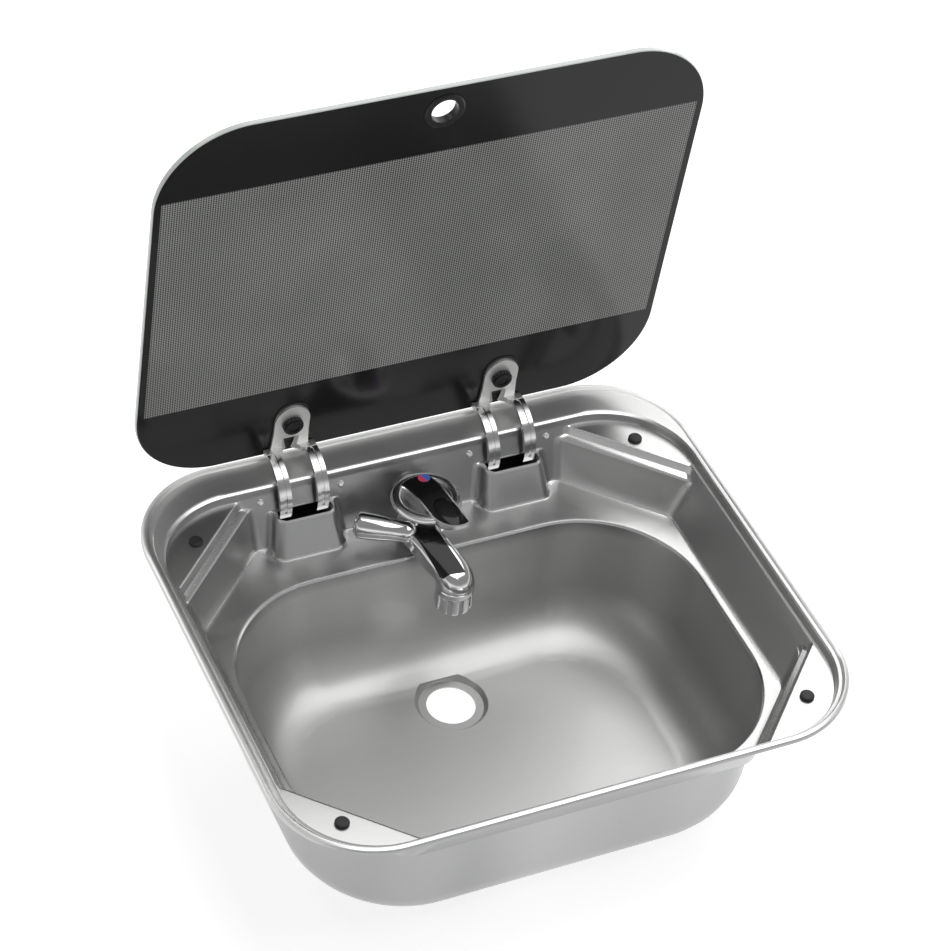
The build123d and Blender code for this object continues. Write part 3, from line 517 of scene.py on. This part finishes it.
# The rounded upper end of a hinge plate. Its back and front face lie this far off the glass,
# and start this far up it, where the CAD plate ends. Its outline has an arc on each shoulder
# and a crown between them: the arc's middle across and up the glass, and its radius.
PLATE_BACK, PLATE_FRONT = 0.0008, 0.0028
PLATE_CUT_BACK, PLATE_CUT_FRONT = 0.0388, 0.03916
SHOULDER = (-0.00075, 0.0332, 0.014)
CROWN = (0.0, 0.03664, 0.011)
SHOULDER_STEPS, CROWN_STEPS = 6, 12


def plate_outline(cut):
    middle_up, radius = SHOULDER[1:]
    start = math.asin((cut - middle_up) / radius)
    half = arc(*SHOULDER, start, FULL_TURN / 8, SHOULDER_STEPS)
    half += arc(*CROWN, FULL_TURN / 8, FULL_TURN / 4, CROWN_STEPS)
    return half + [(-across, up) for across, up in reversed(half[:-1])]


def plate_end(node):
    low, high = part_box(node)
    foot = LID_FOOT + Vector(((low.x + high.x) / 2, 0, 0))
    work = bmesh.new()
    skins = []
    for out, cut in ((PLATE_BACK, PLATE_CUT_BACK), (PLATE_FRONT, PLATE_CUT_FRONT)):
        corner = foot + LID_FACE * out
        skins.append([work.verts.new(corner + Vector((across, 0, 0)) + LID_UP * up)
                      for across, up in plate_outline(cut)])
    back, front = skins
    work.faces.new(back[::-1])
    work.faces.new(front)
    for step in range(len(back)):
        after = (step + 1) % len(back)
        work.faces.new((back[step], back[after], front[after], front[step]))
    shown(node + "_end", work, node)


# The nozzle: a collar and the prongs below it, as rows of (radius, drop from its top).
COLLAR = ((0.0106, 0.0), (0.0130, 0.0), (0.0134, 0.00145), (0.0139, 0.00225),
          (0.0139, 0.00695), (0.0112, 0.00695), (0.0106, 0.00595))
PRONG = ((0.0112, 0.00675), (0.0138, 0.00675), (0.0139, 0.01895), (0.0132, 0.02145),
         (0.0116, 0.02145))
PRONGS = 10
PRONG_TURN = math.radians(23)
COLLAR_STEPS, PRONG_STEPS = 96, 6


def sweep(work, profile, top, start, turn, steps):
    """Sweeps a profile about Z, round to its start or else with a cap at both ends."""
    closed = turn == FULL_TURN
    rings = []
    for step in range(steps if closed else steps + 1):
        angle = start + turn * step / steps
        rings.append([work.verts.new((r * math.cos(angle), r * math.sin(angle), top - drop))
                      for r, drop in profile])
    for step in range(steps):
        ring, following = rings[step], rings[(step + 1) % len(rings)]
        for index in range(len(profile)):
            after = (index + 1) % len(profile)
            work.faces.new((ring[index], following[index], following[after], ring[after]))
    if not closed:
        work.faces.new(rings[0])
        work.faces.new(rings[-1])


def nozzle():
    low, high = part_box("aerator_housing")
    middle = (low + high) / 2
    work = bmesh.new()
    sweep(work, COLLAR, high.z, 0.0, FULL_TURN, COLLAR_STEPS)
    for prong in range(PRONGS):
        start = FULL_TURN * prong / PRONGS - PRONG_TURN / 2
        sweep(work, PRONG, high.z, start, PRONG_TURN, PRONG_STEPS)
    place = Vector((middle.x, middle.y, 0))
    piece = shown("nozzle", work, "aerator_housing", place, NOZZLE_ROUNDING)
    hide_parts("aerator_housing")


# ---- floor, world and lamps ---------------------------------------------------------
WHITE = (1, 1, 1)
FLOOR_HALF = 6.0
FLOOR_GAP = 0.0002
FLOOR_COLOUR = (0.65, 0.65, 0.65)
FLOOR_GLOW = 0.69
SKY_GREY = 0.28
# The Z of a direction up to which the sky is white, and from which it is grey.
WHITE_UP_TO, GREY_FROM = 0.12, 0.45
# Name, place, width, depth and watts of each lamp; all of them aim at the origin.
LAMPS = (
    ("overhead", (0.6, 0.0, 2.0), 2.4, 1.8, 29),
    ("beyond", (0.84, 1.54, 1.64), 1.6, 1.2, 9),
    ("rear_left", (-0.9, 1.5, 1.6), 0.8, 0.8, 4),
    ("right", (1.6, 1.35, 0.75), 0.9, 0.8, 5),
)


def floor_look():
    """Pale and diffuse, with a glow for the camera, mirrors and glass that keeps it white."""
    material = bpy.data.materials.new("floor")
    g = Graph(material)
    path = g.add("ShaderNodeLightPath").outputs
    seen = g.math("ADD", path["Is Camera Ray"], path["Is Glossy Ray"])
    seen = g.math("ADD", seen, path["Is Transmission Ray"], clamp=True)
    glow = {"Color": WHITE, "Strength": g.math("MULTIPLY", seen, FLOOR_GLOW)}
    both = {0: g.add("ShaderNodeBsdfDiffuse", {"Color": FLOOR_COLOUR}).outputs[0],
            1: g.add("ShaderNodeEmission", glow).outputs[0]}
    shader = g.add("ShaderNodeAddShader", both).outputs[0]
    g.add("ShaderNodeOutputMaterial", {"Surface": shader})
    return material


def make_floor():
    low, half = cad_low.z - FLOOR_GAP, FLOOR_HALF
    corners = [(-half, -half, low), (half, -half, low), (half, half, low), (-half, half, low)]
    mesh = bpy.data.meshes.new("floor")
    mesh.from_pydata(corners, [], [(0, 1, 2, 3)])
    mesh.materials.append(floor_look())
    floor = bpy.data.objects.new("floor", mesh)
    bpy.context.scene.collection.objects.link(floor)


def make_world():
    """White round the horizon, a soft grey above it."""
    world = bpy.data.worlds.new("studio")
    bpy.context.scene.world = world
    g = Graph(world)
    height = g.parts(g.add("ShaderNodeTexCoord").outputs["Generated"])["Z"]
    light = g.spread(height, 1.0, SKY_GREY, WHITE_UP_TO, GREY_FROM, kind="SMOOTHSTEP")
    sky = g.add("ShaderNodeBackground", {"Color": WHITE, "Strength": light}).outputs[0]
    g.add("ShaderNodeOutputWorld", {"Surface": sky})


def make_lamp(name, place, width, depth, watts):
    data = bpy.data.lights.new(name, "AREA")
    data.shape = "RECTANGLE"
    data.size = width
    data.size_y = depth
    data.energy = watts
    lamp = bpy.data.objects.new(name, data)
    lamp.location = place
    lamp.rotation_mode = "QUATERNION"
    lamp.rotation_quaternion = (ORIGIN - Vector(place)).to_track_quat("-Z", "Y")
    bpy.context.scene.collection.objects.link(lamp)


make_camera()
paint_all()
smooth_copy("sink_bowl", SINK_SEAM_ANGLE)
for node in SMOOTH_NODES:
    smooth_copy(node, SEAM_ANGLE)
for node in ROUNDED_NODES:
    smooth_copy(node, ROUNDED_SEAM_ANGLE, ARM_ROUNDING)
for node in ("hinge_plate_left", "hinge_plate_right"):
    plate_end(node)
nozzle()
make_floor()
make_world()
for lamp in LAMPS:
    make_lamp(*lamp)

scene = bpy.context.scene
scene.view_settings.view_transform = "Standard"
